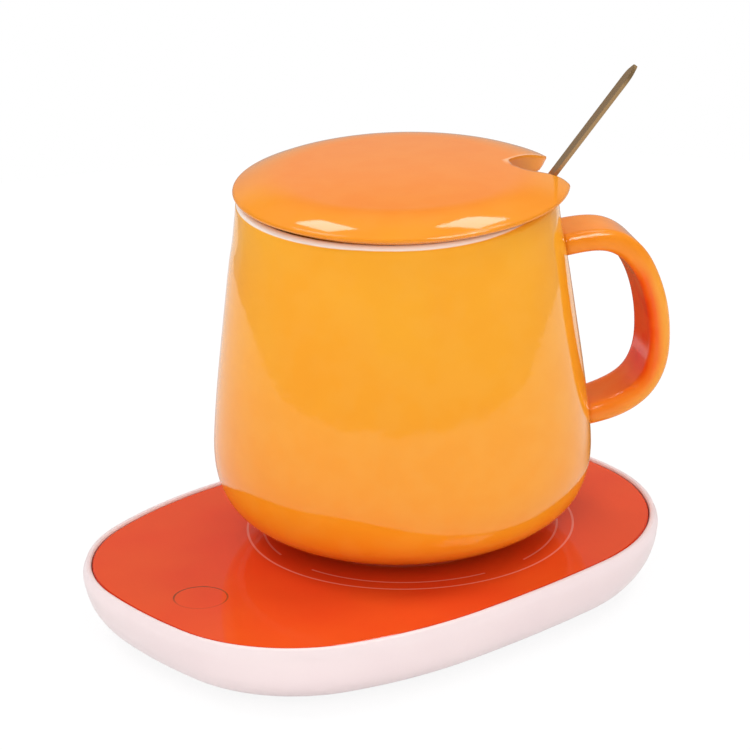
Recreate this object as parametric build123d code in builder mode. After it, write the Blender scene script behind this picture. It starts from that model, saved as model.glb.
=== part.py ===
"""Electric mug warmer with its lidded mug and stirring spoon.

Units are millimetres, +Z is up, and the origin is the centre of the base's footprint on the table.
+X runs along the base from the power-key end to the heated end.
"""
from build123d import *

import os
from math import atan2, cos, degrees, hypot, radians, sin, sqrt

# ---------------------------------------------------------------- base outline, seen from above
WIDEST_X = -10.64      # where the outline is widest
HALF_WIDTH = 51.59     # of the glass panel
KEY_REACH = 59.63      # widest point to the glass edge at the power-key end
HEAT_REACH = 80.91     # widest point to the glass edge at the heated end
KEY_SIDE_R, KEY_CORNER_R, KEY_TIP_R = 103.1, HALF_WIDTH - 14.03, 132.6
HEAT_SIDE_R, HEAT_CORNER_R, HEAT_TIP_R = 339.3, HALF_WIDTH - 5.76, 80.91

# ---------------------------------------------------------------- base heights
BASE_BOTTOM = 1.5      # underside of the housing, above the table
PANEL_TOP = 16.5       # heated surface
GLASS_T = 3.0
ADHESIVE_T = 0.4
FRAME_T = 1.8
FLOOR_T = 2.0
WALL_GAP = 0.25        # shadow gap round the glass
GLASS_BOTTOM = PANEL_TOP - GLASS_T
FRAME_TOP = GLASS_BOTTOM - ADHESIVE_T
FRAME_BOTTOM = FRAME_TOP - FRAME_T
FLOOR_TOP = BASE_BOTTOM + FLOOR_T

# ---------------------------------------------------------------- heater
HEATER = (10.3, 0.0)
TRAY_R = 41.0          # pressed tray that holds the stack
TRAY_T = 0.6
SPREADER_R = TRAY_R - 1.5
SPREADER_T = 1.0
MICA_R = SPREADER_R - 0.9
MICA_T = 0.4
TRACK_T = 0.3
TRACK_WIDTH = 2.4
TRACK_INNER = 7.0      # mean radius of the innermost track ring
TRACK_TURNS = 7
TRACK_PITCH = (MICA_R - 4.0 - TRACK_INNER) / (TRACK_TURNS - 1)
TRACK_RADII = [TRACK_INNER + TRACK_PITCH * i for i in range(TRACK_TURNS)]
TRACK_GAP = 4.0
TRAY_BOTTOM = 7.7
SPREADER_BOTTOM = GLASS_BOTTOM - SPREADER_T
TRACK_TOP = SPREADER_BOTTOM - MICA_T
TRACK_BOTTOM = TRACK_TOP - TRACK_T
PAD_TOP = TRACK_BOTTOM - MICA_T
TRAY_H = 5.2
EAR_R = TRAY_R + 4.8
EAR_TURN = degrees(atan2(HALF_WIDTH - 11.926, TRAY_R - 18.1))   # keeps the side ears clear of the wall
EARS = [(HEATER[0] + EAR_R * cos(radians(a)), HEATER[1] + EAR_R * sin(radians(a)))
        for a in (EAR_TURN, 180, -EAR_TURN)]
TRAY_SCREW_L = 3.0
TERMINAL_Y = (TRACK_GAP + TRACK_WIDTH) / 2
OUTER_TERMINAL = (HEATER[0] - sqrt(TRACK_RADII[-1] ** 2 - TERMINAL_Y ** 2), TERMINAL_Y)
INNER_TERMINAL = (HEATER[0] - sqrt(TRACK_INNER ** 2 - TERMINAL_Y ** 2), -TERMINAL_Y)
SENSOR_R = 1.8
LEAD_R = 0.8
CUTOUT = (-4.0, -14.0)

# ---------------------------------------------------------------- control electronics
KEY = (-55.1, -0.6)    # centre of the touch key
LIGHT_R = 8.0
BOARD_BOTTOM = 8.4
BOARD_T = 1.6
BOARD_TOP = BOARD_BOTTOM + BOARD_T
BOARD_EDGE = HEATER[0] - EAR_R - 3.7   # clear of the tray's ear
CONNECTOR_FACE = BOARD_EDGE - 2.3
SOCKET_X = -31.0
BOARD_SCREWS = ((-60.0, -16.0), (-60.0, 16.0), (SOCKET_X - 8.4, HALF_WIDTH - 13.59))
BOARD_REAR = HALF_WIDTH - 7.99
SOCKET_W, SOCKET_H, SOCKET_L = 9.0, 3.2, 10.6
SOCKET_BACK = HALF_WIDTH - 14.19

# ---------------------------------------------------------------- feet and fixings
FEET = ((-46.0, -26.0), (-46.0, 26.0), (48.0, -28.0), (48.0, 28.0))
FOOT_R = 6.0
FOOT_RECESS = 0.8
SCREW_R = 1.1
HEAD_R = 2.3
HEAD_SEAT = 4.1        # level where the base screws bear
BASE_SCREW_L = 6.5
COLLAR_TOP = 5.3       # top of the screw collars, where the frame posts stand
BOARD_SCREW_L = 3.6
SOCKET_Z = BOARD_BOTTOM - SOCKET_H / 2

# ---------------------------------------------------------------- mug, lid and spoon
MUG = (9.3, 0.9)       # axis of the mug, standing on the heated ring
MUG_H = 85.4           # foot ring to rim
RIM_R = 37.0           # crest of the rolled rim
RIM_HALF = 1.7         # half its thickness
RIM_LOW = MUG_H - RIM_HALF
MUG_FLOOR = 5.0
RIM_OUT, RIM_IN = RIM_R + RIM_HALF, RIM_R - RIM_HALF
HANDLE_TURN = -23.9
HANDLE_W = 16.0
LID = (10.2, 0.2)      # axis of the lid, lying loose in the mouth of the mug
LID_R = RIM_OUT + 1.7
LID_SEAT = MUG_H + 0.05        # underside of the lid above the heated surface
LID_CEILING = LID_SEAT + 2.15  # under the plate, inside the spigot
LID_EDGE = LID_SEAT + 2.05     # level of the outermost edge
SHOULDER = (LID_R - 12.4, LID_SEAT + 5.65)   # where the flat crown turns down
LID_TOP = LID_SEAT + 6.45
SPIGOT_R, SPIGOT_WALL, SPIGOT_H = RIM_IN - 1.7, 2.8, 6.0
NOTCH_TURN = -25.9
NOTCH_END = LID_R - 13.7        # inner end of the notch, from the lid axis
SPOON_TURN = -33.2
SPOON_REST = (RIM_R - 1.87, PANEL_TOP + MUG_H - 0.46)   # where its axis passes the rim
TOE_REACH = RIM_R - 11.1531            # toe of the bowl, on the far side of the mug axis
TOE_DROP = MUG_H - MUG_FLOOR - 1.6474  # from the rim to the toe, just over the mug's floor
SPOON_LEAN = degrees(atan2(SPOON_REST[0] + TOE_REACH, TOE_DROP))   # from the vertical
SPOON_W, SPOON_T = 4.4, 0.9
SPOON_UP = 37.25       # from the rim to the tip of the handle
SPOON_DOWN = hypot(SPOON_REST[0] + TOE_REACH, TOE_DROP)   # from the rim to the toe, along the spoon
BOWL_L, BOWL_W, BOWL_D = 15.5, 10.5, 5.0


MIN = (Align.CENTER, Align.CENTER, Align.MIN)
MAX = (Align.CENTER, Align.CENTER, Align.MAX)

os.makedirs("parts", exist_ok=True)


def write(piece, name, shade):
    piece.part.label = name
    piece.part.color = Color(*shade)
    export_step(piece.part, f"parts/{name}.step")


def corner(reach, side_r, corner_r, tip_r):
    """Centre of a corner arc and the two angles where it runs into the side and the tip."""
    side_y = HALF_WIDTH - side_r
    tip_x = reach - tip_r
    span_x, span_y = tip_x, -side_y
    span = hypot(span_x, span_y)
    near, far = side_r - corner_r, tip_r - corner_r
    along = (near ** 2 - far ** 2 + span ** 2) / (2 * span)
    across = sqrt(near ** 2 - along ** 2)
    ux, uy = span_x / span, span_y / span
    choices = [(along * ux - k * across * uy, side_y + along * uy + k * across * ux) for k in (1, -1)]
    cx, cy = max(choices, key=lambda c: c[0] * (1 if reach > 0 else -1) + c[1])
    return cx, cy, degrees(atan2(cy - side_y, cx)), degrees(atan2(cy, cx - tip_x))


def outline(grow=0.0):
    """Half of the base outline as six tangent arcs, offset outwards by grow, then mirrored."""
    hx, hy, h_side, h_tip = corner(HEAT_REACH, HEAT_SIDE_R, HEAT_CORNER_R, HEAT_TIP_R)
    kx, ky, k_side, k_tip = corner(KEY_REACH, KEY_SIDE_R, KEY_CORNER_R, KEY_TIP_R)
    x0 = WIDEST_X
    CenterArc((x0 + HEAT_REACH - HEAT_TIP_R, 0), HEAT_TIP_R + grow, 0, h_tip)
    CenterArc((x0 + hx, hy), HEAT_CORNER_R + grow, h_tip, h_side - h_tip)
    CenterArc((x0, HALF_WIDTH - HEAT_SIDE_R), HEAT_SIDE_R + grow, h_side, 90 - h_side)
    CenterArc((x0, HALF_WIDTH - KEY_SIDE_R), KEY_SIDE_R + grow, 90, 90 - k_side)
    CenterArc((x0 - kx, ky), KEY_CORNER_R + grow, 180 - k_side, k_side - k_tip)
    CenterArc((x0 - KEY_REACH + KEY_TIP_R, 0), KEY_TIP_R + grow, 180 - k_tip, k_tip)
    mirror(about=Plane.XZ)


def lead(points, leave, arrive, radius=LEAD_R):
    """Insulated wire: a straight run between the first two points, then a smooth run to the last."""
    with BuildPart() as wire_part:
        with BuildLine() as run:
            Line(points[0], points[1])
            Spline(*points[1:], tangents=(leave, arrive))
        with BuildSketch(Plane(origin=points[0], z_dir=leave)):
            Circle(radius)
        sweep(path=run.wire())
    return wire_part


# ================================================================ base
# Housing: a bowl-shaped moulding, its side swept round the outline.
with BuildPart() as housing:
    with BuildLine(Plane.XY) as plan:
        outline()
    section = Plane(origin=(WIDEST_X, HALF_WIDTH, 0), x_dir=(0, 1, 0), z_dir=(1, 0, 0))
    with BuildSketch(section) as side:
        with BuildLine():
            Polyline((1.0, 16.85), (0.55, 16.75), (WALL_GAP, 16.4), (WALL_GAP, FRAME_BOTTOM),
                     (-1.3, FRAME_BOTTOM), (-1.5, 8.6), (-3.4, 5.6), (-6.4, FLOOR_TOP),
                     (-14.0, FLOOR_TOP), (-14.0, BASE_BOTTOM), (-6.4, BASE_BOTTOM))
            Spline((-6.4, BASE_BOTTOM), (-3.9, 2.5), (-1.6, 4.7), (0.4, 7.6), (1.6, 10.6),
                   (2.2, 13.3), (2.15, 15.3), (1.65, 16.45), (1.0, 16.85),
                   tangents=((1.0, 0.2), (-1.0, 0.1)))
        make_face()
    sweep(path=plan.wire())
    with BuildSketch(Plane.XY.offset(BASE_BOTTOM)):
        with BuildLine():
            outline(-13.0)
        make_face()
    extrude(amount=FLOOR_T)
    # board bosses, screw collars over the feet and a stiffening ring below the heater
    with BuildSketch(Plane.XY.offset(FLOOR_TOP)):
        with Locations(*BOARD_SCREWS):
            Circle(2.8)
    extrude(amount=BOARD_BOTTOM - FLOOR_TOP)
    with BuildSketch(Plane.XY.offset(FLOOR_TOP)):
        with Locations(*FEET):
            Circle(4.5)
    extrude(amount=COLLAR_TOP - FLOOR_TOP)
    with BuildSketch(Plane.XY.offset(FLOOR_TOP)):
        with Locations(HEATER):
            Circle(35.0)
            Circle(33.6, mode=Mode.SUBTRACT)
    extrude(amount=1.0)
    # foot recesses, screw heads and shanks
    with Locations(*[(x, y, BASE_BOTTOM) for x, y in FEET]):
        Cylinder(FOOT_R + 0.15, FOOT_RECESS, align=MIN, mode=Mode.SUBTRACT)
        Cylinder(HEAD_R + 0.2, HEAD_SEAT - BASE_BOTTOM, align=MIN, mode=Mode.SUBTRACT)
        Cylinder(SCREW_R, 12, align=MIN, mode=Mode.SUBTRACT)
    with Locations(*[(x, y, BOARD_BOTTOM) for x, y in BOARD_SCREWS]):
        Cylinder(SCREW_R, BOARD_SCREW_L, align=MAX, mode=Mode.SUBTRACT)
    # power socket opening through the rear wall
    with BuildSketch(Plane(origin=(SOCKET_X, SOCKET_BACK + 3, SOCKET_Z), x_dir=(1, 0, 0), z_dir=(0, 1, 0))):
        RectangleRounded(SOCKET_W + 0.5, SOCKET_H + 0.5, 1.8)
    extrude(amount=20, mode=Mode.SUBTRACT)
write(housing, "housing", (0.97, 0.92, 0.91))

# Inner frame: carries the glass, hangs the heater tray and stands on four posts.
with BuildPart() as panel_frame:
    with BuildSketch(Plane.XY.offset(FRAME_BOTTOM)):
        with BuildLine():
            outline()
        make_face()
        with Locations(HEATER):
            Circle(TRAY_R + 1.6, mode=Mode.SUBTRACT)
        with Locations(KEY):
            Circle(LIGHT_R + 0.1, mode=Mode.SUBTRACT)
    extrude(amount=FRAME_T)
    with BuildSketch(Plane.XY.offset(COLLAR_TOP)):
        with Locations(*FEET):
            Circle(3.2)
    extrude(amount=FRAME_BOTTOM - COLLAR_TOP)
    with BuildSketch(Plane.XY.offset(TRAY_BOTTOM + TRAY_T)):
        with Locations(*EARS):
            Circle(2.6)
    extrude(amount=FRAME_BOTTOM - TRAY_BOTTOM - TRAY_T)
    with Locations(*[(x, y, HEAD_SEAT) for x, y in FEET]):
        Cylinder(SCREW_R, BASE_SCREW_L, align=MIN, mode=Mode.SUBTRACT)
    with Locations(*[(x, y, TRAY_BOTTOM) for x, y in EARS]):
        Cylinder(SCREW_R, TRAY_SCREW_L, align=MIN, mode=Mode.SUBTRACT)
write(panel_frame, "panel_frame", (0.25, 0.25, 0.27))

# Heat-proof adhesive bead between the frame and the glass.
with BuildPart() as panel_adhesive:
    with BuildSketch(Plane.XY.offset(FRAME_TOP)):
        with BuildLine():
            outline(-0.8)
        make_face()
    extrude(amount=ADHESIVE_T)
    with BuildSketch(Plane.XY.offset(FRAME_TOP)):
        with BuildLine():
            outline(-4.6)
        make_face()
    extrude(amount=ADHESIVE_T, mode=Mode.SUBTRACT)
write(panel_adhesive, "panel_adhesive", (0.2, 0.2, 0.2))

# Glass panel with a softened upper edge.
with BuildPart() as glass_panel:
    with BuildSketch(Plane.XY.offset(GLASS_BOTTOM)):
        with BuildLine():
            outline()
        make_face()
    extrude(amount=GLASS_T)
    chamfer(glass_panel.faces().sort_by(Axis.Z)[-1].edges(), length=0.3)
write(glass_panel, "glass_panel", (0.90, 0.30, 0.14))

# ================================================================ heater stack, from the glass downwards
with BuildPart() as heat_spreader:
    with Locations((*HEATER, SPREADER_BOTTOM)):
        Cylinder(SPREADER_R, SPREADER_T, align=MIN)
    fillet(heat_spreader.edges().sort_by(Axis.Z)[0], radius=0.4)
write(heat_spreader, "heat_spreader", (0.80, 0.81, 0.83))

with BuildPart() as upper_mica:
    with Locations((*HEATER, TRACK_TOP)):
        Cylinder(MICA_R, MICA_T, align=MIN)
        Cylinder(SENSOR_R + 0.6, MICA_T, align=MIN, mode=Mode.SUBTRACT)
write(upper_mica, "upper_mica", (0.75, 0.66, 0.50))

# Heating track: seven resistive rings, broken on one side and linked end to end as one meander.
with BuildPart() as heater_track:
    with BuildSketch(Plane.XY.offset(TRACK_BOTTOM)):
        with Locations(HEATER):
            for r in reversed(TRACK_RADII):
                Circle(r + TRACK_WIDTH / 2)
                Circle(r - TRACK_WIDTH / 2, mode=Mode.SUBTRACT)
        with Locations((HEATER[0] - 20, HEATER[1])):
            Rectangle(40, TRACK_GAP, mode=Mode.SUBTRACT)
        for i, (r, r_next) in enumerate(zip(TRACK_RADII, TRACK_RADII[1:])):
            side_y = TERMINAL_Y * (1 if i % 2 == 0 else -1)
            with Locations((HEATER[0] - (r + r_next) / 2, HEATER[1] + side_y)):
                Rectangle(r_next - r, TRACK_WIDTH)
    extrude(amount=TRACK_T)
write(heater_track, "heater_track", (0.65, 0.63, 0.60))

with BuildPart() as lower_mica:
    with Locations((*HEATER, PAD_TOP)):
        Cylinder(MICA_R, MICA_T, align=MIN)
        Cylinder(SENSOR_R + 0.6, MICA_T, align=MIN, mode=Mode.SUBTRACT)
    with Locations((*OUTER_TERMINAL, PAD_TOP), (*INNER_TERMINAL, PAD_TOP)):
        Cylinder(LEAD_R + 0.1, MICA_T, align=MIN, mode=Mode.SUBTRACT)
write(lower_mica, "lower_mica", (0.72, 0.63, 0.47))

with BuildPart() as insulation_pad:
    with Locations((*HEATER, TRAY_BOTTOM + TRAY_T)):
        Cylinder(TRAY_R - TRAY_T - 0.1, PAD_TOP - TRAY_BOTTOM - TRAY_T, align=MIN)
        Cylinder(SENSOR_R + 0.6, 10, align=MIN, mode=Mode.SUBTRACT)
    with Locations((*OUTER_TERMINAL, TRAY_BOTTOM), (*INNER_TERMINAL, TRAY_BOTTOM)):
        Cylinder(LEAD_R + 0.2, 10, align=MIN, mode=Mode.SUBTRACT)
write(insulation_pad, "insulation_pad", (0.93, 0.92, 0.88))

# Pressed steel tray with three screw ears.
with BuildPart() as heater_tray:
    with Locations((*HEATER, TRAY_BOTTOM)):
        Cylinder(TRAY_R, TRAY_H, align=MIN)
    fillet(heater_tray.edges().sort_by(Axis.Z)[0], radius=1.0)
    with Locations((*HEATER, TRAY_BOTTOM + TRAY_T)):
        Cylinder(TRAY_R - TRAY_T, TRAY_H, align=MIN, mode=Mode.SUBTRACT)
    with BuildSketch(Plane.XY.offset(TRAY_BOTTOM)):
        for x, y in EARS:
            with Locations((x, y)):
                Circle(2.8)
            turn = degrees(atan2(y - HEATER[1], x - HEATER[0]))
            with Locations(Location(((x + 5 * (HEATER[0] - x) / EAR_R), y + 5 * (HEATER[1] - y) / EAR_R, 0),
                                    (0, 0, turn))):
                Rectangle(10, 5.6)
    extrude(amount=TRAY_T)
    with Locations(*[(x, y, TRAY_BOTTOM) for x, y in EARS]):
        Cylinder(SCREW_R, TRAY_T, align=MIN, mode=Mode.SUBTRACT)
    with Locations((*HEATER, TRAY_BOTTOM)):
        Cylinder(SENSOR_R, TRAY_T, align=MIN, mode=Mode.SUBTRACT)
    with Locations((*OUTER_TERMINAL, TRAY_BOTTOM), (*INNER_TERMINAL, TRAY_BOTTOM)):
        Cylinder(LEAD_R + 0.3, TRAY_T, align=MIN, mode=Mode.SUBTRACT)
write(heater_tray, "heater_tray", (0.70, 0.71, 0.72))

# Temperature sensor pressed up against the spreader.
with BuildPart() as temperature_sensor:
    with Locations((*HEATER, TRAY_BOTTOM)):
        Cylinder(SENSOR_R, SPREADER_BOTTOM - TRAY_BOTTOM, align=MIN)
        Cylinder(3.4, 1.5, align=MAX)
write(temperature_sensor, "temperature_sensor", (0.85, 0.85, 0.80))

# Thermal cut-out held under the tray by a sprung strap.
with BuildPart() as thermal_cutout:
    with Locations((*CUTOUT, TRAY_BOTTOM)):
        Box(20, 7.4, 3.4, align=MAX)
    fillet(thermal_cutout.edges().filter_by(Axis.Z), radius=1.2)
write(thermal_cutout, "thermal_cutout", (0.15, 0.15, 0.16))

with BuildPart() as cutout_strap:
    strap_plane = Plane(origin=(CUTOUT[0] - 2.5, CUTOUT[1], TRAY_BOTTOM), x_dir=(0, 1, 0), z_dir=(1, 0, 0))
    with BuildSketch(strap_plane):
        with BuildLine():
            Polyline((-7.2, 0), (-3.7, 0), (-3.7, -3.4), (3.7, -3.4), (3.7, 0), (7.2, 0), (7.2, -0.4),
                     (4.1, -0.4), (4.1, -3.8), (-4.1, -3.8), (-4.1, -0.4), (-7.2, -0.4), close=True)
        make_face()
    extrude(amount=5)
write(cutout_strap, "cutout_strap", (0.78, 0.78, 0.76))

# ================================================================ control electronics
with BuildPart() as control_board:
    with BuildSketch(Plane.XY.offset(BOARD_BOTTOM)) as board_face:
        with BuildLine():
            Polyline((-64.5, -22.5), (BOARD_EDGE, -22.5), (BOARD_EDGE, 14), (SOCKET_X - 3.0, TRAY_R - 19.0),
                     (SOCKET_X + 6.0, TRAY_R - 16.0), (SOCKET_X + 6.0, BOARD_REAR),
                     (SOCKET_X - 11.4, BOARD_REAR), (SOCKET_X - 11.4, 22.5), (-64.5, 22.5), close=True)
        make_face()
        fillet(board_face.vertices(), radius=1.5)
    extrude(amount=BOARD_T)
    with Locations(*[(x, y, BOARD_BOTTOM) for x, y in BOARD_SCREWS]):
        Cylinder(SCREW_R, BOARD_T, align=MIN, mode=Mode.SUBTRACT)
write(control_board, "control_board", (0.10, 0.38, 0.22))

# Touch contact: a light coil spring between the board and the glass, under the touch key.
with BuildPart() as touch_spring:
    with BuildLine() as coil:
        Helix(pitch=0.93, height=GLASS_BOTTOM - BOARD_TOP - 0.7, radius=3.4,
              center=(*KEY, BOARD_TOP + 0.35))
    with BuildSketch(Plane(origin=coil.wire() @ 0, z_dir=coil.wire() % 0)):
        Circle(0.35)
    sweep(path=coil.wire(), is_frenet=True)
write(touch_spring, "touch_spring", (0.82, 0.80, 0.74))

# Light ring that glows through the printed ring of the key, with four lamps under it.
with BuildPart() as light_ring:
    with Locations((*KEY, BOARD_TOP + 0.8)):
        Cylinder(LIGHT_R, GLASS_BOTTOM - BOARD_TOP - 0.8, align=MIN)
        Cylinder(LIGHT_R + 1.6, FRAME_BOTTOM - BOARD_TOP - 0.8, align=MIN)
        Cylinder(5.4, 5, align=MIN, mode=Mode.SUBTRACT)
write(light_ring, "light_ring", (0.95, 0.95, 0.92))

for n in range(4):
    angle = radians(45 + 90 * n)
    with BuildPart() as lamp:
        with BuildSketch(Plane.XY.offset(BOARD_TOP)):
            with Locations((KEY[0] + 6.7 * cos(angle), KEY[1] + 6.7 * sin(angle))):
                Rectangle(1.6, 1.2)
        extrude(amount=0.8)
    write(lamp, f"lamp_{n + 1}", (0.98, 0.95, 0.75))

# Chips and power parts hang under the board.
with BuildPart() as controller_chip:
    with Locations((-47.5, -14.0, BOARD_BOTTOM)):
        Box(7, 7, 0.9, align=MAX)
    chamfer(controller_chip.faces().sort_by(Axis.Z)[0].edges(), length=0.2)
write(controller_chip, "controller_chip", (0.08, 0.08, 0.09))

with BuildPart() as power_switch:
    with Locations((-46.0, 9.0, BOARD_BOTTOM)):
        Box(6.6, 6.1, 2.3, align=MAX)
    with Locations((-46.0, 13.0, BOARD_BOTTOM)):
        Box(5.4, 2.4, 0.5, align=MAX)
write(power_switch, "power_switch", (0.12, 0.12, 0.13))

with BuildPart() as smoothing_capacitor:
    with Locations((-55.5, 8.0, BOARD_BOTTOM)):
        Cylinder(3.15, 4.3, align=MAX)
        Box(6.6, 6.6, 0.7, align=MAX)
    fillet(smoothing_capacitor.edges().sort_by(Axis.Z)[0], radius=0.4)
write(smoothing_capacitor, "smoothing_capacitor", (0.75, 0.76, 0.78))

with BuildPart() as filter_coil:
    with Locations((-55.5, -5.0, BOARD_BOTTOM)):
        Box(6.0, 6.0, 3.0, align=MAX)
    fillet(filter_coil.edges().filter_by(Axis.Z), radius=1.2)
write(filter_coil, "filter_coil", (0.22, 0.22, 0.24))

with BuildPart() as lead_connector:
    with Locations((CONNECTOR_FACE - 2.5, -3.0, BOARD_BOTTOM)):
        Box(5.0, 9.0, 3.8, align=MAX)
    fillet(lead_connector.edges().filter_by(Axis.Z), radius=0.4)
write(lead_connector, "lead_connector", (0.93, 0.92, 0.88))

# Power socket: a stamped shell round a contact tongue, facing the rear wall.
socket_plane = Plane(origin=(SOCKET_X, SOCKET_BACK, SOCKET_Z), x_dir=(1, 0, 0), z_dir=(0, 1, 0))
with BuildPart() as power_socket:
    with BuildSketch(socket_plane):
        RectangleRounded(SOCKET_W, SOCKET_H, 1.5)
    extrude(amount=SOCKET_L)
    with BuildSketch(socket_plane.offset(SOCKET_L)):
        RectangleRounded(8.3, 2.5, 1.2)
    extrude(amount=-8.5, mode=Mode.SUBTRACT)
write(power_socket, "power_socket", (0.78, 0.78, 0.80))

with BuildPart() as socket_tongue:
    with BuildSketch(socket_plane.offset(SOCKET_L - 8.5)):
        RectangleRounded(6.7, 0.7, 0.3)
    extrude(amount=7.4)
write(socket_tongue, "socket_tongue", (0.10, 0.10, 0.11))

# Heater and sensor wiring.
feed_lead = lead([(CUTOUT[0] - 10.0, CUTOUT[1], 6.0), (CUTOUT[0] - 11.5, CUTOUT[1], 6.0),
                  (-28.0, -10.0, 5.6), (CONNECTOR_FACE, -5.5, 5.8)],
                 (-1, 0, 0), (-1, 0, 0))
write(feed_lead, "feed_lead", (0.75, 0.12, 0.10))
link_lead = lead([(*INNER_TERMINAL, TRACK_BOTTOM), (*INNER_TERMINAL, 8.0), (4.6, -6.5, 5.8),
                  (8.4, -11.5, 5.9), (CUTOUT[0] + 10.0, CUTOUT[1], 6.0)], (0, 0, -1), (-1, 0, 0))
write(link_lead, "link_lead", (0.75, 0.12, 0.10))
return_lead = lead([(*OUTER_TERMINAL, TRACK_BOTTOM), (*OUTER_TERMINAL, 8.0), (-27.0, 3.0, 5.7),
                    (-34.0, 1.6, 5.5), (CONNECTOR_FACE, -0.5, 5.8)], (0, 0, -1), (-1, 0, 0))
write(return_lead, "return_lead", (0.93, 0.93, 0.93))
sensor_lead = lead([(HEATER[0] - 3.4, 0, 6.9), (HEATER[0] - 5.3, 0, 6.9), (-9.0, -2.5, 6.4),
                    (-26.0, -3.8, 5.6), (CONNECTOR_FACE, -3.0, 5.8)],
                   (-1, 0, 0), (-1, 0, 0), radius=0.6)
write(sensor_lead, "sensor_lead", (0.15, 0.15, 0.16))

# ================================================================ screws and feet
def screw(x, y, seat, length, head_r, head_h, up=True):
    """Socket-head screw: the shank runs away from the seat, the head lies on the other side of it."""
    way = 1 if up else -1
    with BuildPart() as piece:
        with BuildSketch(Plane.XY.offset(seat)):
            with Locations((x, y)):
                Circle(SCREW_R)
        extrude(amount=way * length)
        with BuildSketch(Plane.XY.offset(seat)):
            with Locations((x, y)):
                Circle(head_r)
        extrude(amount=-way * head_h)
        with BuildSketch(Plane.XY.offset(seat - way * head_h)):
            with Locations((x, y)):
                RegularPolygon(head_r * 0.5, 6)
        extrude(amount=way * head_h * 0.55, mode=Mode.SUBTRACT)
    return piece


for n, (x, y) in enumerate(FEET):
    write(screw(x, y, HEAD_SEAT, BASE_SCREW_L, HEAD_R, 1.2), f"base_screw_{n + 1}", (0.62, 0.63, 0.65))
for n, (x, y) in enumerate(EARS):
    write(screw(x, y, TRAY_BOTTOM, TRAY_SCREW_L, 2.0, 1.0), f"tray_screw_{n + 1}", (0.62, 0.63, 0.65))
for n, (x, y) in enumerate(BOARD_SCREWS):
    write(screw(x, y, BOARD_TOP, BOARD_T + BOARD_SCREW_L, 2.0, 1.1, up=False), f"board_screw_{n + 1}",
          (0.62, 0.63, 0.65))

for n, (x, y) in enumerate(FEET):
    with BuildPart() as foot:
        with Locations((x, y, 0)):
            Cylinder(FOOT_R, BASE_BOTTOM + FOOT_RECESS, align=MIN)
        fillet(foot.edges().sort_by(Axis.Z)[0], radius=0.6)
        with Locations((x, y, BASE_BOTTOM + FOOT_RECESS)):
            Cylinder(HEAD_R, HEAD_SEAT - 1.2 - BASE_BOTTOM - FOOT_RECESS, align=MIN)
    write(foot, f"rubber_foot_{n + 1}", (0.16, 0.16, 0.17))

# ================================================================ mug
handle_dir = (cos(radians(HANDLE_TURN)), sin(radians(HANDLE_TURN)), 0)
mug_plane = Plane(origin=(*MUG, PANEL_TOP), x_dir=handle_dir, z_dir=(handle_dir[1], -handle_dir[0], 0))
mug_axis = Axis((*MUG, PANEL_TOP), (0, 0, 1))


def from_rim(*steps):
    """Points at those distances outside the rim's crest circle and heights over the foot ring."""
    return [(RIM_R + step, height) for step, height in steps]


def mug_profile():
    """Half section of the mug's outside, closed along the axis."""
    Polyline((RIM_OUT, RIM_LOW), (0, RIM_LOW), (0, 1.8),
             *from_rim((-14.0, 1.4), (-13.4, 0), (-11.2, 0), (-10.8, 0.9), (-10.0, 0.9)))
    Spline(*from_rim((-10.0, 0.9), (-6.2, 2.2), (0.4, 5.3), (6.2, 10.6), (8.75, 18.0), (8.7, 28.0),
                     (7.5, 40.0), (5.6, 55.0), (3.6, 70.0), (RIM_HALF, RIM_LOW)),
           tangents=((1, 0.25), (-0.1, 1)))


# Body: full outside, then the rolled rim, then the hollow.
with BuildPart() as mug:
    with BuildSketch(mug_plane):
        with BuildLine():
            mug_profile()
        make_face()
    revolve(axis=mug_axis)
    with BuildSketch(mug_plane):
        with BuildLine():
            Line((RIM_OUT, RIM_LOW), (RIM_IN, RIM_LOW))
            ThreePointArc((RIM_IN, RIM_LOW), (RIM_R, MUG_H), (RIM_OUT, RIM_LOW))
        make_face()
    revolve(axis=mug_axis)
    with BuildSketch(mug_plane):
        with BuildLine():
            Polyline((RIM_IN, RIM_LOW), (0, RIM_LOW), (0, MUG_FLOOR), (RIM_R - 13.0, MUG_FLOOR))
            Spline(*from_rim((-13.0, MUG_FLOOR), (-3.6, 7.8), (2.0, 13.6), (4.5, 22.0), (4.4, 32.0),
                             (3.1, 46.0), (0.9, 62.0), (-1.2, 78.5), (-RIM_HALF, RIM_LOW)),
                   tangents=((1, 0.1), (-0.06, 1)))
        make_face()
    revolve(axis=mug_axis, mode=Mode.SUBTRACT)
write(mug, "mug", (0.98, 0.62, 0.20))

# Strap handle: cast apart and luted to the body, so its ends take the body's curve.
with BuildPart() as mug_handle:
    with BuildSketch(mug_plane):
        with BuildLine():
            outside = from_rim(
                (1.0, 72.3), (9.0, 72.9), (16.5, 72.0), (23.0, 67.3), (26.9, 60.2), (29.2, 52.0),
                (29.8, 43.5), (28.7, 35.8), (24.7, 29.0), (17.8, 24.7), (9.0, 22.9), (1.0, 22.2))
            inside = from_rim(
                (1.0, 27.4), (9.0, 28.1), (16.3, 29.9), (21.2, 32.7), (23.8, 37.3), (24.6, 43.5),
                (24.0, 51.0), (22.0, 58.2), (18.8, 63.6), (14.5, 66.9), (9.0, 67.7), (1.0, 67.0))
            Spline(*outside)
            Line(outside[-1], inside[0])
            Spline(*inside)
            Line(inside[-1], outside[0])
        make_face()
    extrude(amount=HANDLE_W / 2, both=True)
    strap_edges = mug_handle.edges().filter_by(GeomType.BSPLINE)
    fillet([e for e in strap_edges if e.length > 60], radius=2.3)
    with BuildSketch(mug_plane):
        with BuildLine():
            mug_profile()
        make_face()
    revolve(axis=mug_axis, mode=Mode.SUBTRACT)
write(mug_handle, "mug_handle", (0.98, 0.62, 0.20))

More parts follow.
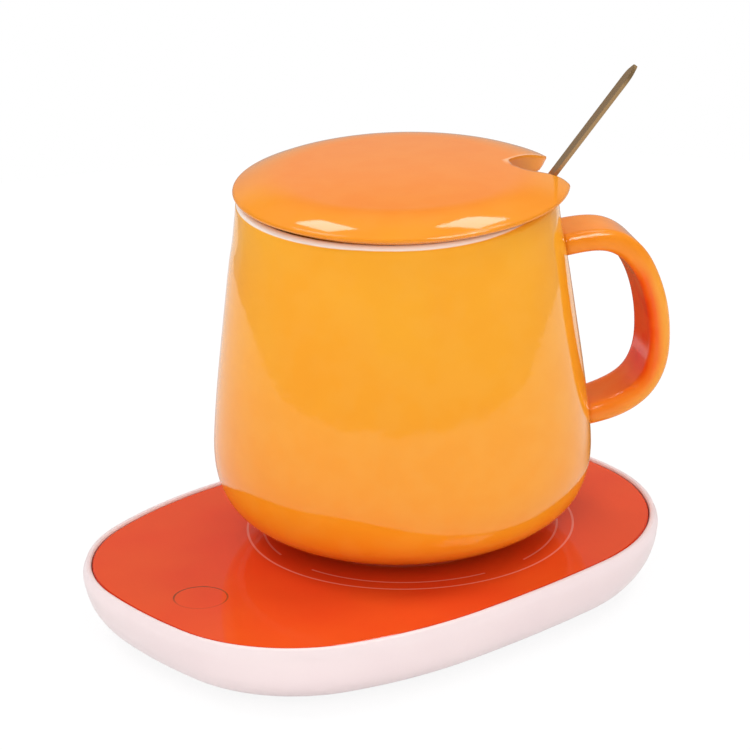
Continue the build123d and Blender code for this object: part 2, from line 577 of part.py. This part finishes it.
# ================================================================ lid
notch_dir = (cos(radians(NOTCH_TURN)), sin(radians(NOTCH_TURN)), 0)
lid_plane = Plane(origin=(*LID, PANEL_TOP), x_dir=(-notch_dir[0], -notch_dir[1], 0),
                  z_dir=(-notch_dir[1], notch_dir[0], 0))
lid_axis = Axis((*LID, PANEL_TOP), (0, 0, 1))
nose_top, nose_low = (LID_R - 0.5, LID_EDGE + 0.45), (LID_R - 0.5, LID_EDGE - 0.6)
with BuildPart() as lid:
    # crown, shoulder, rounded edge, seat on the rim, then the spigot that keeps it centred in the mouth
    with BuildSketch(lid_plane):
        with BuildLine():
            crown = TangentArc((0, LID_TOP), SHOULDER, tangent=(1, 0))
            TangentArc(SHOULDER, nose_top, tangent=crown % 1)
            ThreePointArc(nose_top, (LID_R, LID_EDGE), nose_low)
            Polyline(nose_low, (RIM_R + 0.1, LID_SEAT), (SPIGOT_R, LID_SEAT), (SPIGOT_R, LID_SEAT - SPIGOT_H),
                     (SPIGOT_R - SPIGOT_WALL, LID_SEAT - SPIGOT_H), (SPIGOT_R - SPIGOT_WALL, LID_CEILING),
                     (0, LID_CEILING), (0, LID_TOP))
        make_face()
    revolve(axis=lid_axis)
    # spoon notch: a rounded end, and a mouth whose corners are eased where it leaves the rim
    notch_low = (*LID, PANEL_TOP + LID_SEAT - SPIGOT_H - 1)
    with BuildSketch(Plane(origin=notch_low, x_dir=notch_dir, z_dir=(0, 0, 1))):
        with BuildLine():
            upper = [(NOTCH_END + step, side) for step, side in (
                (0, 0), (1.0, 1.9), (3.7, 3.9), (7.5, 6.5), (10.7, 8.9), (12.1, 10.8), (12.1, 13.0))]
            lower = [(NOTCH_END + step, side) for step, side in (
                (11.3, -15.5), (11.8, -11.8), (10.8, -9.3), (8.5, -8.2),
                (5.1, -7.9), (2.1, -6.6), (0.5, -3.8), (0, 0))]
            Spline(*upper, tangents=((0, 1), (0, 1)))
            Polyline(upper[-1], (LID_R + 5.6, 13.0), (LID_R + 5.6, -15.5), lower[0])
            Spline(*lower, tangents=((0.2, 1), (0, 1)))
        make_face()
    extrude(amount=20, mode=Mode.SUBTRACT)
write(lid, "lid", (0.98, 0.60, 0.30))

# ================================================================ spoon
spoon_dir = (cos(radians(SPOON_TURN)), sin(radians(SPOON_TURN)))
lean_x, lean_z = sin(radians(SPOON_LEAN)), cos(radians(SPOON_LEAN))
spoon_plane = Plane(
    origin=(MUG[0] + SPOON_REST[0] * spoon_dir[0], MUG[1] + SPOON_REST[0] * spoon_dir[1], SPOON_REST[1]),
    x_dir=(lean_x * spoon_dir[0], lean_x * spoon_dir[1], lean_z),
    z_dir=(-lean_z * spoon_dir[0], -lean_z * spoon_dir[1], lean_x))
bowl_solid = scale(Sphere(1.0), by=(BOWL_L, BOWL_W, BOWL_D))
bowl_hollow = scale(Sphere(1.0), by=(BOWL_L - 0.9, BOWL_W - 0.9, BOWL_D - 0.9))
bowl_block = Pos(0, 0, 25 + SPOON_T / 2) * Box(50, 50, 50)
bowl = Pos(BOWL_L - SPOON_DOWN, 0, 0) * (bowl_solid - bowl_hollow - bowl_block)
with BuildPart() as spoon:
    with BuildSketch(spoon_plane.offset(-SPOON_T / 2)) as strip:
        with BuildLine():
            Polyline((SPOON_UP - 5.0, SPOON_W / 2), (2 * BOWL_L - SPOON_DOWN - 1.0, SPOON_W / 2 - 0.5),
                     (2 * BOWL_L - SPOON_DOWN - 1.0, 0.5 - SPOON_W / 2), (SPOON_UP - 5.0, -SPOON_W / 2))
            Spline((SPOON_UP - 5.0, -SPOON_W / 2), (SPOON_UP - 1.2, -1.2), (SPOON_UP, 0), (SPOON_UP - 1.2, 1.2),
                   (SPOON_UP - 5.0, SPOON_W / 2), tangents=((1, 0), (-1, 0)))
        make_face()
    extrude(amount=SPOON_T)
    add(spoon_plane.location * bowl)
write(spoon, "spoon", (0.78, 0.62, 0.38))
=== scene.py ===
"""Looks of the electric mug warmer with its mug, lid and spoon. Units are metres, +Z is up."""
import math

import bpy
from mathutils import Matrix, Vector

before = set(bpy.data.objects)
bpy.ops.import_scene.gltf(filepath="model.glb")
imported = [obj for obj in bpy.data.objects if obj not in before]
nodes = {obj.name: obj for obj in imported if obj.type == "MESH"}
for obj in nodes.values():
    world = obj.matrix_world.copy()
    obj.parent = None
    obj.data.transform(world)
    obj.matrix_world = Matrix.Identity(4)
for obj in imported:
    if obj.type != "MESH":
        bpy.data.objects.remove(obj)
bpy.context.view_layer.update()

# ---------------------------------------------------------------- places and sizes in the shared frame
PANEL_TOP = 0.0165                           # heated surface, which the mug stands on
MUG = (0.0093, 0.0009)                       # axis of the mug
LID = (0.0102, 0.0002)                       # axis of the lid
RING = (0.01034, -0.00005)                   # centre of the printed rings
KEY = (-0.05507, -0.00136)                   # centre of the touch key
FRONT = Vector((-0.6213, -0.7836, 0.0))      # level direction from the object to the camera
RIGHT = Vector((0.7836, -0.6213, 0.0))       # level direction to the camera's right

MUG_H = 0.0854                               # lip of the mug above the panel
MUG_FLOOR = 0.0034                           # its hollow lies above this height
BARE_FOOT = 0.0004                           # unglazed height of its foot ring
PARTING = (0.08435, 0.08465)                 # heights between which the glaze turns white
PARTING_RISE = 0.0008                        # how much higher they are on the mug's high side
HIGH_SIDE = (0.7836, -0.6213)                # level direction of that side, near the handle
# middle of the mug's wall: share of the mug's height, and radius in tenths of a metre
WALL_MIDDLE = [(0.0, 0.20), (0.06, 0.36), (0.16, 0.413), (0.26, 0.437), (0.37, 0.435), (0.54, 0.42),
               (0.73, 0.398), (0.93, 0.378), (1.0, 0.37)]
HANDLE_DIR = (0.9143, -0.4051)               # level direction of the handle
HANDLE_GAP = (0.051, 0.0475)                 # middle of its finger gap, from the mug's axis and the panel
NOTCH_TURN = math.radians(-25.9)             # direction of the lid's notch
NOTCH_END = 0.0267                           # inner end of the notch, from the lid's axis
NOTCH_FLARE = 1.35                           # how fast its far side runs outwards
SPOON_DIR = Vector((0.5123, -0.3352, 0.7907)).normalized()

OUTER_RING_R, INNER_RING_R, KEY_R = 0.0400, 0.03607, 0.0064
RING_LINE, RING_SOFT = 0.00052, 0.00016      # width of a printed line, and of its soft edges
KEY_LINE, KEY_SOFT = 0.00042, 0.00014
ARC_BREAK = (0.0059, 0.0062)                 # half the break between two arcs of the inner ring

# ---------------------------------------------------------------- levels of light
SOFT, LIT = 0.50, 0.77                       # the room on matt surfaces, and its extra from the camera's side
ROOM, WALL, WALL_FALL, CEILING = 0.30, 0.42, 0.30, 0.20      # what gloss mirrors of the room
TABLE = 0.85                                 # what gloss mirrors of the table top
TABLE_SHADE = 0.6                            # share of it lost behind the object
TABLE_R = 0.395
# name, azimuth from the camera to the right, height, distance, width, length, watts, seen by gloss, by matt
LAMPS = [
    ("window_left", -157.0, 0.83, 0.54, 0.13, 0.19, 0.42, True, True),
    ("window_right", 156.0, 0.83, 0.54, 0.18, 0.18, 0.52, True, True),
    ("fill_left", -97.0, 0.85, 0.50, 0.40, 0.30, 2.6, False, True),
    ("fill_right", 103.0, 0.85, 0.50, 0.40, 0.30, 2.6, False, True),
    ("window_front", 56.0, 0.70, 0.37, 0.36, 0.22, 4.2, True, False),
]

CAMERA_PLACE = (-0.60224, -0.75950, 0.42905)
CAMERA_TURN = (69.0622, 1.4170, -38.9800)    # degrees
CAMERA_LENS, CAMERA_SENSOR = 206.4, 36.0     # millimetres


# ---------------------------------------------------------------- node helpers
def rgba(value):
    """A colour of three numbers with its fourth, and anything else as it is."""
    return (*value, 1.0) if isinstance(value, tuple) and len(value) == 3 else value


class Tree:
    """A node tree with short ways to add maths, colours and textures."""

    def __init__(self, owner, coordinate):
        owner.use_nodes = True
        self.nodes = owner.node_tree.nodes
        self.links = owner.node_tree.links
        self.coordinate = coordinate
        self._place = None

    def add(self, kind, **settings):
        node = self.nodes.new(kind)
        for key, value in settings.items():
            setattr(node, key, value)
        return node

    def feed(self, socket, value):
        if isinstance(value, bpy.types.NodeSocket):
            self.links.new(value, socket)
        else:
            socket.default_value = value

    def place(self):
        """The point that is shaded, in the tree's own coordinates."""
        if self._place is None:
            self._place = self.add("ShaderNodeTexCoord").outputs[self.coordinate]
        return self._place

    def split(self, vector=None):
        node = self.add("ShaderNodeSeparateXYZ")
        self.links.new(vector or self.place(), node.inputs[0])
        return node.outputs

    def maths(self, operation, *values, clamp=False):
        node = self.add("ShaderNodeMath", operation=operation, use_clamp=clamp)
        for socket, value in zip(node.inputs, values):
            self.feed(socket, value)
        return node.outputs[0]

    def plus(self, a, b, clamp=False):
        return self.maths("ADD", a, b, clamp=clamp)

    def minus(self, a, b):
        return self.maths("SUBTRACT", a, b)

    def times(self, a, b):
        return self.maths("MULTIPLY", a, b)

    def opposite(self, share):
        return self.minus(1.0, share)

    def vector(self, operation, *values, result="Vector"):
        node = self.add("ShaderNodeVectorMath", operation=operation)
        for socket, value in zip(node.inputs, values):
            self.feed(socket, value)
        return node.outputs[result]

    def between(self, value, low, high, smooth=True):
        """0 at low, 1 at high, with a soft or straight slope."""
        node = self.add("ShaderNodeMapRange", interpolation_type="SMOOTHSTEP" if smooth else "LINEAR")
        for socket, number in zip(node.inputs, (value, low, high, 0.0, 1.0)):
            self.feed(socket, number)
        return node.outputs[0]

    def noise(self, scale, detail=3.0, rough=0.5, vector=None):
        node = self.add("ShaderNodeTexNoise")
        self.links.new(vector or self.place(), node.inputs["Vector"])
        node.inputs["Scale"].default_value = scale
        node.inputs["Detail"].default_value = detail
        node.inputs["Roughness"].default_value = rough
        return node.outputs["Fac"]

    def blend(self, share, first, second):
        node = self.add("ShaderNodeMix", data_type="RGBA")
        for socket, value in ((node.inputs[0], share), (node.inputs[6], first), (node.inputs[7], second)):
            self.feed(socket, rgba(value))
        return node.outputs[2]

    def level(self, centre):
        """x and y measured from that centre."""
        x, y, _ = self.split()
        return self.minus(x, centre[0]), self.minus(y, centre[1])

    def length(self, a, b):
        return self.maths("SQRT", self.plus(self.times(a, a), self.times(b, b)))

    def radius(self, centre):
        return self.length(*self.level(centre))

    def along(self, centre, direction):
        """How far the point lies from that centre in a level direction."""
        dx, dy = self.level(centre)
        return self.plus(self.times(dx, direction[0]), self.times(dy, direction[1]))

    def rays(self):
        """Shares for what the camera sees straight on, and for what gloss and glass show."""
        path = self.add("ShaderNodeLightPath").outputs
        mirrored = self.maths("MAXIMUM", path["Is Glossy Ray"], path["Is Transmission Ray"])
        return path["Is Camera Ray"], mirrored


class Surface(Tree):
    """A material, textured in object coordinates, which ride with the piece."""

    def __init__(self, name, **settings):
        self.material = bpy.data.materials.new(name)
        super().__init__(self.material, "Object")
        self.shader = self.nodes["Principled BSDF"]
        for key, value in settings.items():
            self.shader.inputs[key.replace("_", " ")].default_value = value

    def colour(self, value):
        self.feed(self.shader.inputs["Base Color"], rgba(value))

    def roughness(self, value):
        self.feed(self.shader.inputs["Roughness"], value)

    def eased(self, rounding):
        """The surface's normal, with its edges eased by that rounding."""
        node = self.add("ShaderNodeBevel", samples=8)
        node.inputs["Radius"].default_value = rounding
        return node.outputs[0]

    def bump(self, height, strength, distance, normal=None):
        node = self.add("ShaderNodeBump")
        if normal:
            self.links.new(normal, node.inputs["Normal"])
        node.inputs["Strength"].default_value = strength
        node.inputs["Distance"].default_value = distance
        self.feed(node.inputs["Height"], height)
        self.links.new(node.outputs[0], self.shader.inputs["Normal"])


def paint(name, material):
    data = nodes[name].data
    data.materials.clear()
    data.materials.append(material)


# ---------------------------------------------------------------- glazes
def glaze(tree, tone, pale, warm):
    """Coloured gloss glaze: slow drift in tone and a faint cloud."""
    drift = tree.between(tree.noise(38.0, 2.0), 0.3, 0.7)
    cloud = tree.between(tree.noise(140.0, 3.0), 0.35, 0.65)
    base = tree.blend(tree.times(drift, 0.4), tone, warm)
    return tree.blend(tree.times(cloud, 0.15), base, pale)


def orange_peel(tree, normal=None):
    """Fine waviness of a glazed surface."""
    tree.bump(tree.noise(420.0, 2.0), 0.04, 0.0004, normal)


def mug_lip(tree, z):
    """1 over the lip, where the glaze turns white at a line that wanders and is higher near the handle."""
    rise = tree.times(tree.between(tree.along(MUG, HIGH_SIDE), 0.017, 0.032), PARTING_RISE)
    wander = tree.times(tree.minus(tree.noise(60.0, 2.0), 0.5), 0.0005)
    height = tree.minus(tree.plus(z, wander), rise)
    return tree.between(height, PANEL_TOP + PARTING[0], PANEL_TOP + PARTING[1])


def mug_inside(tree, z):
    """1 on the surfaces inside the middle of the mug's wall and above its floor."""
    wall = tree.add("ShaderNodeFloatCurve")
    points = wall.mapping.curves[0].points
    points[0].location, points[1].location = WALL_MIDDLE[0], WALL_MIDDLE[-1]
    for place in WALL_MIDDLE[1:-1]:
        points.new(*place)
    wall.mapping.update()
    tree.links.new(tree.between(z, PANEL_TOP, PANEL_TOP + MUG_H, smooth=False), wall.inputs["Value"])
    middle = tree.times(wall.outputs[0], 0.1)
    return tree.times(tree.maths("LESS_THAN", tree.radius(MUG), middle),
                      tree.maths("GREATER_THAN", z, PANEL_TOP + MUG_FLOOR))


def mug_material():
    tree = Surface("mug_glaze", IOR=1.5)
    z = tree.split()[2]
    # yellower towards the top, redder towards the foot
    high = tree.between(z, PANEL_TOP + 0.004, PANEL_TOP + 0.075, smooth=False)
    tone = tree.blend(high, (0.93, 0.295, 0.013), (0.95, 0.42, 0.022))
    base = glaze(tree, tone, (0.95, 0.44, 0.06), (0.94, 0.33, 0.014))
    white = tree.maths("MAXIMUM", mug_lip(tree, z), mug_inside(tree, z))
    base = tree.blend(white, base, (0.98, 0.92, 0.86))
    # bare clay, matt and brown, on the foot ring
    foot = tree.maths("LESS_THAN", z, PANEL_TOP + BARE_FOOT)
    tree.colour(tree.blend(foot, base, (0.72, 0.66, 0.58)))
    tree.roughness(tree.between(foot, -0.08, 1.6, smooth=False))
    orange_peel(tree)
    return tree.material


def handle_material():
    """Same glaze, with painted shade in deep red on the faces turned to the finger gap and painted light in
    pale orange on the outer faces; the tone also changes between the arms and the upright.
    """
    tree = Surface("handle_glaze", Roughness=0.09, IOR=1.5, Specular_IOR_Level=0.3)
    z = tree.split()[2]
    normal = tree.eased(0.0022)
    out, up = HANDLE_GAP
    gap = (MUG[0] + out * HANDLE_DIR[0], MUG[1] + out * HANDLE_DIR[1], PANEL_TOP + up)
    away = tree.vector("NORMALIZE", tree.vector("SUBTRACT", tree.place(), gap))
    facing = tree.vector("DOT_PRODUCT", away, normal, result="Value")
    upper_arm = tree.between(z, PANEL_TOP + 0.058, PANEL_TOP + 0.067)
    lower_arm = tree.between(z, PANEL_TOP + 0.038, PANEL_TOP + 0.028)
    side = tree.blend(upper_arm, (0.93, 0.125, 0.009), (0.94, 0.30, 0.016))
    side = tree.blend(lower_arm, side, (0.94, 0.23, 0.014))
    # painted shade: deep red where the faces turn to the finger gap; painted light: pale orange where they
    # turn away
    inner_painted_shade = tree.blend(tree.maths("MAXIMUM", upper_arm, lower_arm), (0.86, 0.045, 0.006), (0.95, 0.22, 0.012))
    outer_painted_light = tree.blend(upper_arm, (0.93, 0.36, 0.035), (0.89, 0.27, 0.012))
    tone = tree.blend(tree.between(facing, -0.10, -0.75), side, inner_painted_shade)
    tone = tree.blend(tree.between(facing, 0.10, 0.7), tone, outer_painted_light)
    tree.colour(glaze(tree, tone, (0.95, 0.40, 0.06), (0.93, 0.22, 0.012)))
    orange_peel(tree, normal)
    return tree.material


def notch_painted_highlight(tree):
    """1 on top of the lid, along the inner end and far side of its notch, where a pale highlight is painted.
    """
    cos, sin = math.cos(NOTCH_TURN), math.sin(NOTCH_TURN)
    out, across = tree.along(LID, (cos, sin)), tree.along(LID, (-sin, cos))
    flare = tree.minus(tree.times(across, NOTCH_FLARE), 0.0016)
    edge = tree.plus(tree.maths("MAXIMUM", flare, 0.0), NOTCH_END)
    near = tree.between(tree.minus(edge, out), 0.0019, 0.0005)
    up = tree.split(tree.add("ShaderNodeNewGeometry").outputs["Normal"])[2]
    on_top = tree.times(near, tree.maths("GREATER_THAN", up, 0.8))
    return tree.times(on_top, tree.between(across, -0.003, 0.001))


def lid_material():
    tree = Surface("lid_glaze", Roughness=0.06, IOR=1.5)
    # painted light: the shoulder gets a yellower orange than the top, for how the glaze mirrors the room
    # there
    shoulder = tree.between(tree.radius(LID), 0.026, 0.037)
    tone = tree.blend(shoulder, (0.865, 0.246, 0.021), (0.875, 0.305, 0.016))
    base = glaze(tree, tone, (0.89, 0.32, 0.05), (0.86, 0.228, 0.018))
    # painted highlight: a pale line along the edge of the notch, standing in for light on a rounded edge
    tree.colour(tree.blend(notch_painted_highlight(tree), base, (0.96, 0.47, 0.22)))
    orange_peel(tree, tree.eased(0.0011))
    return tree.material


paint("mug", mug_material())
paint("mug_handle", handle_material())
paint("lid", lid_material())


# ---------------------------------------------------------------- glass panel with its printed rings
def ring_line(tree, radius, centre_radius, width, soft):
    """1 on a printed line of that width, 0 beside it."""
    off = tree.maths("ABSOLUTE", tree.minus(radius, centre_radius))
    return tree.opposite(tree.between(off, width / 2 - soft / 2, width / 2 + soft / 2))


def ring_marks(tree):
    """The outer ring, and the inner ring as four arcs that are broken on the plate's axes."""
    r = tree.radius(RING)
    outer = ring_line(tree, r, OUTER_RING_R, RING_LINE, RING_SOFT)
    inner = ring_line(tree, r, INNER_RING_R, RING_LINE, RING_SOFT)
    dx, dy = tree.level(RING)
    nearest_axis = tree.maths("MINIMUM", tree.maths("ABSOLUTE", dx), tree.maths("ABSOLUTE", dy))
    arcs = tree.between(nearest_axis, *ARC_BREAK)
    return tree.maths("MAXIMUM", outer, tree.times(inner, arcs))


def key_mark(tree):
    """The touch key's circle, fainter on the side away from the rings and a little worn."""
    x, y, _ = tree.split()
    line = ring_line(tree, tree.radius(KEY), KEY_R, KEY_LINE, KEY_SOFT)
    middle = KEY[0] + KEY[1]
    near_side = tree.between(tree.plus(x, y), middle - 0.0075, middle + 0.002)
    line = tree.times(line, tree.plus(0.25, tree.times(0.75, near_side), clamp=True))
    wear = tree.between(tree.noise(160.0, 2.0), 0.30, 0.62)
    return tree.times(line, tree.plus(0.72, tree.times(0.28, wear)))


def panel_material():
    tree = Surface("panel_glass", Roughness=0.035, IOR=1.52, Specular_IOR_Level=0.22)
    drift = tree.between(tree.noise(30.0, 2.0), 0.3, 0.7)
    tone = tree.blend(drift, (0.80, 0.065, 0.013), (0.81, 0.086, 0.014))
    base = tree.blend(tree.times(ring_marks(tree), 0.85), tone, (0.92, 0.31, 0.23))
    base = tree.blend(key_mark(tree), base, (0.20, 0.055, 0.015))
    # painted shade: the edge of the glass below its face is darkened, for the shadowed gap round the panel
    edge = tree.maths("LESS_THAN", tree.split()[2], PANEL_TOP - 0.00002)
    tree.colour(tree.blend(tree.times(edge, 0.8), base, (0.62, 0.035, 0.012)))
    return tree.material


paint("glass_panel", panel_material())


# ---------------------------------------------------------------- housing
def housing_material():
    """Moulded pale pink plastic with a fine grain."""
    tree = Surface("shell", Roughness=0.30, IOR=1.46, Specular_IOR_Level=0.35)
    drift = tree.between(tree.noise(45.0, 2.0), 0.3, 0.7)
    tree.colour(tree.blend(drift, (0.92, 0.78, 0.78), (0.90, 0.755, 0.76)))
    tree.bump(tree.noise(2600.0, 2.0), 0.05, 0.0001)
    return tree.material


paint("housing", housing_material())


# ---------------------------------------------------------------- spoon
def spoon_material():
    """Metal brushed along its length: the noise is stretched along the spoon's own axis."""
    tree = Surface("spoon_metal", Metallic=1.0, Anisotropic=0.4)
    down = tree.vector("DOT_PRODUCT", tree.place(), SPOON_DIR, result="Value")
    pull = tree.vector("MULTIPLY", SPOON_DIR, tree.times(down, 0.97))
    brush = tree.noise(3200.0, 3.0, 0.6, tree.vector("SUBTRACT", tree.place(), pull))
    tree.colour(tree.blend(tree.between(brush, 0.2, 0.8), (0.62, 0.405, 0.20), (0.65, 0.43, 0.215)))
    tree.roughness(tree.plus(0.36, tree.times(brush, 0.12)))
    tree.bump(brush, 0.02, 0.00002)
    return tree.material


paint("spoon", spoon_material())


# ---------------------------------------------------------------- feet and the parts inside the base
def plain(name, first, second, rough, metal=0.0, scale=300.0, bump=0.1, depth=0.0001):
    """Speckled between two close tones, with a bump from the same speckle."""
    tree = Surface(name, Roughness=rough, Metallic=metal)
    speck = tree.noise(scale, 3.0)
    tree.colour(tree.blend(tree.between(speck, 0.3, 0.7), first, second))
    tree.bump(speck, bump, depth)
    return tree.material


foot_rubber = plain("foot_rubber", (0.030, 0.030, 0.032), (0.045, 0.045, 0.048), 0.75, scale=1400.0, bump=0.3)
frame_plastic = plain("frame_plastic", (0.035, 0.035, 0.038), (0.05, 0.05, 0.054), 0.55, scale=900.0)
adhesive = plain("adhesive", (0.015, 0.015, 0.015), (0.025, 0.025, 0.025), 0.6)
spreader = plain("spreader", (0.56, 0.57, 0.59), (0.63, 0.64, 0.66), 0.32, metal=1.0, scale=700.0)
mica = plain("mica", (0.44, 0.33, 0.18), (0.54, 0.42, 0.25), 0.5, scale=500.0)
track = plain("resistive_track", (0.32, 0.30, 0.27), (0.40, 0.37, 0.33), 0.4, metal=1.0)
insulation = plain("insulation", (0.78, 0.76, 0.68), (0.86, 0.85, 0.80), 0.9,
                   scale=1100.0, bump=0.5, depth=0.0003)
pressed_steel = plain("pressed_steel", (0.40, 0.41, 0.42), (0.50, 0.51, 0.52), 0.3, metal=1.0, scale=200.0)
sensor_body = plain("sensor_body", (0.68, 0.68, 0.62), (0.76, 0.76, 0.70), 0.5)
board = plain("board", (0.010, 0.085, 0.030), (0.016, 0.11, 0.042), 0.35, scale=900.0)
black_part = plain("black_part", (0.012, 0.012, 0.013), (0.022, 0.022, 0.024), 0.4, scale=1200.0)
spring_steel = plain("spring_steel", (0.50, 0.49, 0.44), (0.60, 0.59, 0.53), 0.25, metal=1.0)
light_guide = plain("light_guide", (0.80, 0.80, 0.76), (0.86, 0.86, 0.82), 0.4)
lamp = plain("lamp", (0.85, 0.72, 0.28), (0.92, 0.80, 0.36), 0.25)
can = plain("can", (0.45, 0.46, 0.48), (0.52, 0.53, 0.55), 0.3, metal=1.0)
connector = plain("connector", (0.76, 0.73, 0.64), (0.82, 0.79, 0.70), 0.45)
socket_shell = plain("socket_shell", (0.55, 0.55, 0.57), (0.63, 0.63, 0.65), 0.25, metal=1.0)
red_wire = plain("red_wire", (0.36, 0.008, 0.006), (0.44, 0.014, 0.010), 0.4)
white_wire = plain("white_wire", (0.74, 0.74, 0.71), (0.80, 0.80, 0.77), 0.4)
black_wire = plain("black_wire", (0.010, 0.010, 0.011), (0.018, 0.018, 0.020), 0.4)
screw_steel = plain("screw_steel", (0.36, 0.37, 0.38), (0.46, 0.47, 0.48), 0.28, metal=1.0, scale=900.0)

INSIDE = {
    "panel_frame": frame_plastic, "panel_adhesive": adhesive,
    "heat_spreader": spreader, "upper_mica": mica, "lower_mica": mica, "heater_track": track,
    "insulation_pad": insulation, "heater_tray": pressed_steel, "temperature_sensor": sensor_body,
    "thermal_cutout": black_part, "cutout_strap": spring_steel,
    "control_board": board, "touch_spring": spring_steel, "light_ring": light_guide,
    "controller_chip": black_part, "power_switch": black_part, "smoothing_capacitor": can,
    "filter_coil": black_part, "lead_connector": connector,
    "power_socket": socket_shell, "socket_tongue": black_part,
    "feed_lead": red_wire, "link_lead": red_wire, "return_lead": white_wire, "sensor_lead": black_wire,
}
for name, material in INSIDE.items():
    paint(name, material)
for name in nodes:
    if name.startswith("lamp_"):
        paint(name, lamp)
    elif "_screw_" in name:
        paint(name, screw_steel)
    elif name.startswith("rubber_foot"):
        paint(name, foot_rubber)


# ---------------------------------------------------------------- floor, world, lights and camera
def floor_material():
    """White table top, plain white seen straight on. Gloss mirrors a warm shade on it behind the object."""
    tree = Surface("floor_white", Roughness=0.9, Specular_IOR_Level=0.0)
    tree.colour((0.90, 0.90, 0.90))
    camera_ray, shine = tree.rays()
    side, back = tree.along(MUG, RIGHT), tree.along(MUG, -FRONT)
    middle = tree.times(tree.between(side, -0.085, -0.035), tree.opposite(tree.between(side, 0.07, 0.12)))
    shade = tree.times(middle, tree.between(back, 0.03, 0.09))
    fade = tree.opposite(tree.times(shade, TABLE_SHADE))
    mirrored = tree.times(tree.times(shine, TABLE), fade)
    glow = tree.add("ShaderNodeEmission")
    tint = tree.blend(tree.times(shade, shine), (1.0, 1.0, 1.0), (1.0, 0.42, 0.16))
    tree.links.new(tint, glow.inputs["Color"])
    tree.links.new(tree.plus(tree.times(camera_ray, 1.03), mirrored), glow.inputs["Strength"])
    # the camera sees mostly glow with the object's shadow on it, and gloss sees the glow alone
    mix = tree.add("ShaderNodeMixShader")
    seen = tree.times(tree.maths("MAXIMUM", camera_ray, shine), 0.86)
    tree.links.new(tree.maths("MAXIMUM", seen, shine), mix.inputs[0])
    tree.links.new(tree.shader.outputs[0], mix.inputs[1])
    tree.links.new(glow.outputs[0], mix.inputs[2])
    tree.links.new(mix.outputs[0], tree.nodes["Material Output"].inputs["Surface"])
    return tree.material


def floor(sides=96, drop=0.0001):
    """Round table top, just under the feet, whose far edge of light is what the glaze mirrors."""
    centre = Vector((*MUG, 0.0)) + FRONT * 0.05
    turns = [math.tau * i / sides for i in range(sides)]
    spots = [(centre[0] + TABLE_R * math.cos(a), centre[1] + TABLE_R * math.sin(a), -drop) for a in turns]
    data = bpy.data.meshes.new("floor")
    data.from_pydata(spots, [], [tuple(range(sides))])
    data.materials.append(floor_material())
    piece = bpy.data.objects.new("floor", data)
    bpy.context.scene.collection.objects.link(piece)


def studio_world():
    """Dark room in front of the object, a pale wall behind it, and an even pale light on matt surfaces."""
    world = bpy.data.worlds.new("studio")
    bpy.context.scene.world = world
    tree = Tree(world, "Generated")
    x, y, up = tree.split()
    ahead = tree.plus(tree.times(x, FRONT[0]), tree.times(y, FRONT[1]))
    turn = tree.maths("DIVIDE", ahead, tree.maths("MAXIMUM", tree.length(x, y), 0.001))
    behind = tree.between(turn, -0.57, -0.77)
    wall = tree.minus(WALL, tree.times(tree.between(up, 0.30, 0.55), WALL_FALL))
    ceiling = tree.times(tree.between(up, 0.45, 0.8), CEILING)
    room = tree.times(ROOM, tree.opposite(tree.between(up, 0.0, 0.35)))
    mirror = tree.plus(tree.maths("MAXIMUM", room, tree.times(behind, wall)), ceiling)
    soft = tree.plus(SOFT, tree.times(LIT, tree.between(ahead, 0.0, 1.0)))
    camera_ray, shine = tree.rays()
    strength = tree.plus(tree.times(mirror, shine), tree.times(soft, tree.opposite(shine)))
    background = tree.nodes["Background"]
    background.inputs["Color"].default_value = (1.0, 1.0, 1.0, 1.0)
    tree.links.new(tree.maths("MAXIMUM", strength, camera_ray), background.inputs["Strength"])


def softbox(name, azimuth, height, distance, width, tall, power, mirrored, lit):
    """Area lamp aimed at the mug."""
    light = bpy.data.lights.new(name, "AREA")
    light.shape = "RECTANGLE"
    light.size, light.size_y = width, tall
    light.energy = power
    piece = bpy.data.objects.new(name, light)
    bpy.context.scene.collection.objects.link(piece)
    piece.visible_glossy, piece.visible_diffuse = mirrored, lit
    turn = math.radians(azimuth)
    piece.location = (FRONT * math.cos(turn) + RIGHT * math.sin(turn)) * distance + Vector((0, 0, height))
    aim = Vector((*MUG, 0.07)) - piece.location
    piece.rotation_euler = aim.to_track_quat("-Z", "Y").to_euler()


def camera():
    data = bpy.data.cameras.new("camera")
    data.lens, data.sensor_width = CAMERA_LENS, CAMERA_SENSOR
    data.clip_start, data.clip_end = 0.05, 20.0
    piece = bpy.data.objects.new("camera", data)
    bpy.context.scene.collection.objects.link(piece)
    piece.location = CAMERA_PLACE
    piece.rotation_euler = [math.radians(a) for a in CAMERA_TURN]
    bpy.context.scene.camera = piece


floor()
studio_world()
for settings in LAMPS:
    softbox(*settings)
camera()
bpy.context.scene.view_settings.view_transform = "Standard"
